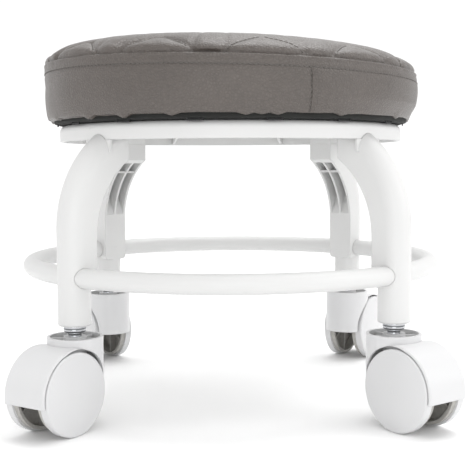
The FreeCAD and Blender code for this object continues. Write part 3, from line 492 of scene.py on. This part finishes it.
band_gather, band_gather_reach = 0.35 * mm, 4 * mm
seam_groove, seam_groove_width = 0.8 * mm, 0.6 * mm
lip_height, lip_drop, lip_width = 0.5 * mm, 1.5 * mm, 0.9 * mm
gape_depth, gape_rise, gape_long, gape_width = 2.2 * mm, 0.5 * mm, 10 * mm, 0.9 * mm
crown_lean_from = 10 * mm
right_draw, right_draw_share = 2.6 * mm, 0.3
left_draw, left_draw_at, left_draw_share = 2.2 * mm, 0.6, 0.5
hem_ripple, hem_ripple_count, hem_ripple_row = 0.35 * mm, 9, 4

fine_mesh.update()
normals = [vert.normal.copy() for vert in fine_mesh.vertices]
for vert, normal in zip(fine_mesh.vertices, normals):
    x, y, z = vert.co
    turn, reach = math.atan2(y, x), math.hypot(x, y)
    to_seam = z - seam_height
    gather = max(dip(between(turn, other) * seam_radius, gather_width) for other in gather_turns)
    push = 0
    if to_seam > 0:
        line = from_stitching(x, y)
        groove = quilt_groove * dip(line, quilt_groove_width) + quilt_hollow * dip(line, quilt_hollow_width)
        push -= groove * pull(turn)
        push -= gather_depth * gather * math.exp(-to_seam / gather_reach) * min(1, to_seam / gather_start)
        pucker = noise.noise(Vector((math.cos(turn) * pucker_count, math.sin(turn) * pucker_count, 0)))
        push += pucker_height * pucker * math.exp(-to_seam / pucker_reach)
    elif z > hem_height:
        push -= topstitch_groove * dip(to_seam + topstitch_drop, topstitch_groove_width)
        slack = noise.noise(Vector((math.cos(turn) * slack_count, math.sin(turn) * slack_count, z / slack_tall)))
        push += slack_height * slack * dip(to_seam + 0.5 * (seam_height - hem_height), slack_reach)
        push -= band_gather * gather * dip(to_seam, band_gather_reach)
    push -= seam_groove * dip(to_seam, seam_groove_width)
    push += lip_height * dip(to_seam + lip_drop, lip_width)
    gape = dip(between(turn, gape_turn) * seam_radius, gape_long)
    push -= gape_depth * gape * dip(to_seam - gape_rise, gape_width)
    vert.co += normal * push
    rise = min(max((z - hem_height) / (seam_height - hem_height), 0), 1)
    vert.co.z -= lean * math.cos(turn) * rise * min(1, reach / seam_radius)
    vert.co.z -= crown_lean * math.cos(turn) * min(1, max(0, to_seam) / crown_lean_from) * reach / seam_radius
    drawn_in = right_draw * (0.5 + 0.5 * math.cos(turn)) * max(0, 1 - rise / right_draw_share)
    drawn_in += left_draw * max(0, -math.cos(turn)) * max(0, 1 - abs(rise - left_draw_at) / left_draw_share)
    if z > hem_height - 2 * mm:
        shrink = 1 - drawn_in / seam_radius
        vert.co.x *= shrink
        vert.co.y *= shrink
    if z < hem_height + tip_rise and reach > hem_radius - hem_step:
        tip = max(drop * mm * max(0, 1 - between(turn, math.radians(at)) / tip_half)
                  for at, drop in hem_tips.items())
        wave = Vector((math.cos(turn) * hem_ripple_count, math.sin(turn) * hem_ripple_count, hem_ripple_row))
        ripple = hem_ripple * noise.noise(wave)
        vert.co.z -= (tip + ripple) * max(0, 1 - max(0, z - hem_height) / tip_rise)
for face in fine_mesh.polygons:
    face.use_smooth = True

dark_hide = (0.042, 0.034, 0.029, 1)
pale_hide = (0.128, 0.106, 0.092, 1)
wander_reach = 0.6 * mm
pebble_depth = 0.4 * mm
hide = Finish("grey_leather", IOR=1.6, Coat_Weight=0.12, Coat_Roughness=0.36)
wander = Wire(hide, hide.speckle(260, 2).socket.node.outputs["Color"])
wandered = hide.node("VectorMath", {"operation": "SCALE"}, {0: wander, "Scale": wander_reach})
warped = hide.node("VectorMath", {"operation": "ADD"}, {0: hide.place, 1: wandered})
pebble = hide.node("TexVoronoi", {"feature": "DISTANCE_TO_EDGE"}, {"Vector": warped, "Scale": 560})
pebbles = pebble.worked("SMOOTH_MIN", pebble * 2.2, 0.6)
pores = hide.speckle(2600, 2)
patina = hide.speckle(16, 4, 0.6)
blotch = hide.speckle(380, 3, 0.65)
grain_height = pebbles + pores * 0.25
cover_finish = hide.set(
    Base_Color=hide.blend(patina * 0.5 + pebbles * 0.35 + blotch * 0.45 - 0.15, dark_hide, pale_hide),
    Roughness=0.36 - pebbles * 0.10 + patina * 0.08,
    Normal=hide.raised(grain_height, pebble_depth, 0.85),
)
fine_mesh.materials.clear()
fine_mesh.materials.append(cover_finish)
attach(cushion, "seat_frame")
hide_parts("cover_top", "cover_band", "foam_pad")


# Thread: a grey topstitch round the band just under its seam, stitches down each quilting line,
# and a row beside the lapped joint where the two ends of the band meet.
thread_width = 0.42 * mm
stitch_length = 2.9 * mm
stitch_pitch = 3.0 * mm
look_from = 1.2
skin = BVHTree.FromPolygons(
    [vert.co for vert in fine_mesh.vertices], [tuple(face.vertices) for face in fine_mesh.polygons])
stitches = []


def sew(spot, normal, way):
    """One stitch, half sunk in the leather."""
    side = normal.cross(way).normalized()
    way = side.cross(normal)
    turn = Matrix((way, side, normal)).transposed().to_4x4()
    shape = Matrix.Diagonal((stitch_length / 2, thread_width, thread_width, 1))
    stitches.append(Matrix.Translation(spot) @ turn @ shape @ Matrix.Rotation(math.pi / 2, 4, "Y"))


def band_spot(turn, height):
    """Point and normal on the band, found by looking in from outside."""
    outward = Vector((math.cos(turn), math.sin(turn), 0))
    spot, normal, _, _ = skin.ray_cast(outward * seam_radius * look_from + Vector((0, 0, height)), -outward)
    return spot, normal


def panel_spot(spot):
    """Point and normal on the top panel, found by looking down."""
    found, normal, _, _ = skin.ray_cast(Vector((spot.x, spot.y, crown_height * look_from)), Vector((0, 0, -1)))
    return found, normal


def seam_line(turn):
    """Height of the leaning seam in a direction."""
    return seam_height - lean * math.cos(turn)


band_stitches = round(2 * math.pi * seam_radius / stitch_pitch)
for number in range(band_stitches):
    turn = 2 * math.pi * number / band_stitches
    ahead = turn + 0.5 * stitch_length / seam_radius
    spot, normal = band_spot(turn, seam_line(turn) - topstitch_drop)
    further, _ = band_spot(ahead, seam_line(ahead) - topstitch_drop)
    sew(spot, normal, (further - spot).normalized())
for number in range(petal_count):
    for mirror in (-1, 1):
        for start, stop in stitch_lines:
            turn = Matrix.Rotation(petal_turn + 2 * petal_half * number, 2)
            begin = turn @ Vector((start.x, start.y * mirror))
            end = turn @ Vector((stop.x, stop.y * mirror))
            count = int((end - begin).length / stitch_pitch)
            way = Vector((*(end - begin).normalized(), 0))
            for place in range(1, count):
                spot, normal = panel_spot(begin.lerp(end, place / count))
                sew(spot, normal, way)
joint_wide = 3.0 * mm
joint_gap = 0.8 * mm
joint_top = seam_line(joint_turn) - topstitch_drop - joint_gap
joint_slant = 0.015
joint_row = -0.62 * joint_wide
joint_stitches = int((joint_top - hem_height) / stitch_pitch)


def joint_at(height, across):
    """Direction of a point on the joint, which leans a little from upright."""
    return joint_turn + joint_slant * (joint_top - height) / (joint_top - hem_height) + across / seam_radius


for number in range(joint_stitches):
    height = hem_height + (number + 0.5) * stitch_pitch
    spot, normal = band_spot(joint_at(height, joint_row), height)
    sew(spot, normal, Vector((0, 0, 1)))
bead = bmesh.new()
bmesh.ops.create_uvsphere(bead, u_segments=6, v_segments=5, radius=1)
bead_mesh = bpy.data.meshes.new("bead")
bead.to_mesh(bead_mesh)
bead.free()
bead_dive = [abs(vert.co.z) for vert in bead_mesh.vertices]
sewing = bmesh.new()
row_mesh = bpy.data.meshes.new("row")
row_length = 40
for start in range(0, len(stitches), row_length):
    row = bmesh.new()
    for matrix in stitches[start:start + row_length]:
        before = len(row.verts)
        row.from_mesh(bead_mesh)
        row.verts.ensure_lookup_table()
        bmesh.ops.transform(row, matrix=matrix, verts=row.verts[before:])
    row.to_mesh(row_mesh)
    row.free()
    sewing.from_mesh(row_mesh)
thread_mesh = bpy.data.meshes.new("cover_thread")
sewing.to_mesh(thread_mesh)
sewing.free()
bpy.data.meshes.remove(bead_mesh)
bpy.data.meshes.remove(row_mesh)
thread_mesh.attributes.new("dive", "FLOAT", "POINT").data.foreach_set("value", bead_dive * len(stitches))
for face in thread_mesh.polygons:
    face.use_smooth = True
thread = bpy.data.objects.new("cover_thread", thread_mesh)
bpy.context.scene.collection.objects.link(thread)
dark_strand = (0.075, 0.068, 0.062, 1)
pale_strand = (0.13, 0.118, 0.108, 1)
stitch_hole_shade = (0.008, 0.007, 0.006, 1)
yarn = Finish("grey_thread", IOR=1.5)
twist = yarn.speckle(1800, 2)
sunk = yarn.node("Attribute", {"attribute_name": "dive"}, out="Fac")
strand = yarn.blend(twist, dark_strand, pale_strand)
thread_mesh.materials.append(yarn.set(
    # Painted shade: the ends of each stitch, where the thread dives into the leather, are darkened to near-black for
    # the shade in the stitch holes.
    Base_Color=yarn.blend(sunk ** 4, strand, stitch_hole_shade),
    Roughness=0.6 + twist * 0.2,
    Normal=yarn.raised(twist, 0.06 * mm, 0.6),
))
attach(thread, "seat_frame")


# Band joint: the band's two ends lap with a folded edge, a narrow upright strip of the same
# leather that stands a little proud of the band.
lap = bmesh.new()
lap_rows = 26
bmesh.ops.create_grid(lap, x_segments=2, y_segments=lap_rows, size=0.5)
lap_proud = 0.9 * mm
lap_sunk = 0.15 * mm
lap_lift = 0.5 * mm
lap_thickness = 0.5 * mm
for vert in lap.verts:
    height = hem_height + lap_lift + (joint_top - hem_height) * (vert.co.y + 0.5)
    spot, normal = band_spot(joint_at(height, vert.co.x * joint_wide), height)
    vert.co = spot + normal * (lap_proud * (vert.co.x + 0.5) - lap_sunk)
bmesh.ops.recalc_face_normals(lap, faces=lap.faces)
lap_mesh = bpy.data.meshes.new("band_joint")
lap.to_mesh(lap_mesh)
lap.free()
joint = bpy.data.objects.new("band_joint", lap_mesh)
bpy.context.scene.collection.objects.link(joint)
thick = joint.modifiers.new("thick", "SOLIDIFY")
thick.thickness = lap_thickness
thick.offset = 1
rounded = joint.modifiers.new("rounded", "SUBSURF")
rounded.levels = rounded.render_levels = 2
for face in lap_mesh.polygons:
    face.use_smooth = True
lap_mesh.materials.append(cover_finish)
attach(joint, "seat_frame")


# Dust cloth: black non-woven cloth stapled under the cushion and turned up round the board, where
# it shows below the hem as a dark rumpled band.
cloth_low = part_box("dust_cloth")[0][2] + 0.15 * mm
board_radius = (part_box("seat_board")[1][0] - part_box("seat_board")[0][0]) / 2
cloth_radius = board_radius + 0.5 * mm
cloth_top = hem_height + 0.6 * mm
cloth_rows = ((cloth_radius - 6 * mm, cloth_low), (cloth_radius - 3.2 * mm, cloth_low + 0.2 * mm),
              (cloth_radius - 2.0 * mm, cloth_low + 0.7 * mm), (cloth_radius, cloth_low + 1.2 * mm),
              (cloth_radius + 0.1 * mm, cloth_low + 1.8 * mm), (cloth_radius, cloth_top))
cloth_middle = 60 * mm
cloth_flat = 95 * mm
rumple_height, rumple_count, rumple_tall = 0.9 * mm, 14, 2 * mm
cloth_segments = 288
under = bmesh.new()
bmesh.ops.create_circle(under, segments=cloth_segments, radius=cloth_middle, cap_ends=True,
                        matrix=Matrix.Translation((0, 0, cloth_low)))
rim = list(under.edges)
for radius, height in ((cloth_flat, cloth_low),) + cloth_rows:
    grown = bmesh.ops.extrude_edge_only(under, edges=rim)["geom"]
    rim = [item for item in grown if isinstance(item, bmesh.types.BMEdge)]
    for vert in (item for item in grown if isinstance(item, bmesh.types.BMVert)):
        outward = vert.co.xy.normalized()
        rumple = noise.noise(Vector((outward.x * rumple_count, outward.y * rumple_count, height / rumple_tall)))
        reach = radius + (rumple_height * abs(rumple) if height > cloth_low else 0)
        vert.co = (outward.x * reach, outward.y * reach, height)
bmesh.ops.recalc_face_normals(under, faces=under.faces)
under_mesh = bpy.data.meshes.new("under_cloth")
under.to_mesh(under_mesh)
under.free()
for face in under_mesh.polygons:
    face.use_smooth = True
under_cloth = bpy.data.objects.new("under_cloth", under_mesh)
bpy.context.scene.collection.objects.link(under_cloth)
dark_fibre = (0.003, 0.003, 0.003, 1)
pale_fibre = (0.024, 0.025, 0.023, 1)
felt_depth = 0.2 * mm
felt = Finish("black_cloth", IOR=1.45)
fibres = felt.speckle(1500, 4, 0.7)
bonds = felt.node("TexVoronoi", {"feature": "F1"}, {"Vector": felt.place, "Scale": 700})
under_mesh.materials.append(felt.set(
    Base_Color=felt.blend(fibres, dark_fibre, pale_fibre),
    Roughness=0.75 + fibres * 0.2,
    Normal=felt.raised(fibres - bonds * 0.5, felt_depth, 0.6),
))
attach(under_cloth, "seat_frame")
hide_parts("dust_cloth")
cloth_turn_in = 3.6 * mm
cloth_width = 2 * (cloth_radius + cloth_turn_in)
math.pi * cloth_width ** 2 / 4


# Studio: a white floor that curves up behind the seat, even white light all round, a broad lamp
# above and smaller ones in front and at the sides. The camera stands low in front of the cushion.
floor = bmesh.new()
floor_half = 3.0
sweep_start = 1.6
sweep_radius = 1.2
sweep_steps = 24
bmesh.ops.create_grid(floor, x_segments=1, y_segments=1, size=floor_half)
for vert in floor.verts:
    vert.co.y = min(vert.co.y, sweep_start)
back = [edge for edge in floor.edges if all(vert.co.y > sweep_start - mm for vert in edge.verts)]
bmesh.ops.spin(floor, geom=back, cent=(0, sweep_start, sweep_radius), axis=(1, 0, 0), angle=math.pi / 2,
               steps=sweep_steps, use_merge=False)
floor_mesh = bpy.data.meshes.new("studio_floor")
floor.to_mesh(floor_mesh)
floor.free()
for face in floor_mesh.polygons:
    face.use_smooth = True
studio = bpy.data.objects.new("studio_floor", floor_mesh)
bpy.context.scene.collection.objects.link(studio)
paper = Finish("white_paper", IOR=1.4)
paper.shader.inputs["Specular IOR Level"].default_value = 0.0
floor_mesh.materials.append(paper.set(
    Base_Color=(0.97, 0.97, 0.97, 1),
    Roughness=0.9,
))

sky_strength = 0.98
world = bpy.data.worlds.new("studio_light")
bpy.context.scene.world = world
world.use_nodes = True
sky = world.node_tree.nodes["Background"]
sky.inputs["Color"].default_value = (1, 1, 1, 1)
sky.inputs["Strength"].default_value = sky_strength
lamps = (
    ("top_lamp", (0.3, 0.3, 1.6), 1.4, 16.5),
    ("front_lamp", (-0.1, -1.5, 0.3), 0.9, 3.2),
    ("right_lamp", (1.4, -0.6, 0.8), 0.9, 4.0),
    ("left_lamp", (-1.4, -0.2, 0.6), 0.9, 0.5),
)
aim = Vector((0, 0, 0.13))
for name, place, width, power in lamps:
    light = bpy.data.lights.new(name, "AREA")
    light.size = width
    light.energy = power
    lamp = bpy.data.objects.new(name, light)
    bpy.context.scene.collection.objects.link(lamp)
    lamp.location = place
    lamp.rotation_euler = (aim - Vector(place)).to_track_quat("-Z", "Y").to_euler()
bpy.context.scene.view_settings.view_transform = "Standard"

lens = bpy.data.cameras.new("camera")
image_width = 470
focal_pixels = 949.718
lens.sensor_width = 36
lens.lens = focal_pixels / image_width * lens.sensor_width
camera = bpy.data.objects.new("camera", lens)
bpy.context.scene.collection.objects.link(camera)
stand = Vector((-11.7, -672.4, 160.7)) * mm
round_seat = math.radians(-0.411)
sideways = math.radians(-1.25)
tilt = math.radians(90 - 4.357)
roll = math.radians(-0.246)
camera.matrix_world = (
    Matrix.Rotation(round_seat, 4, "Z")
    @ Matrix.Translation(stand)
    @ Matrix.Rotation(sideways, 4, "Z")
    @ Matrix.Rotation(tilt, 4, "X")
    @ Matrix.Rotation(roll, 4, "Z")
)
bpy.context.scene.camera = camera
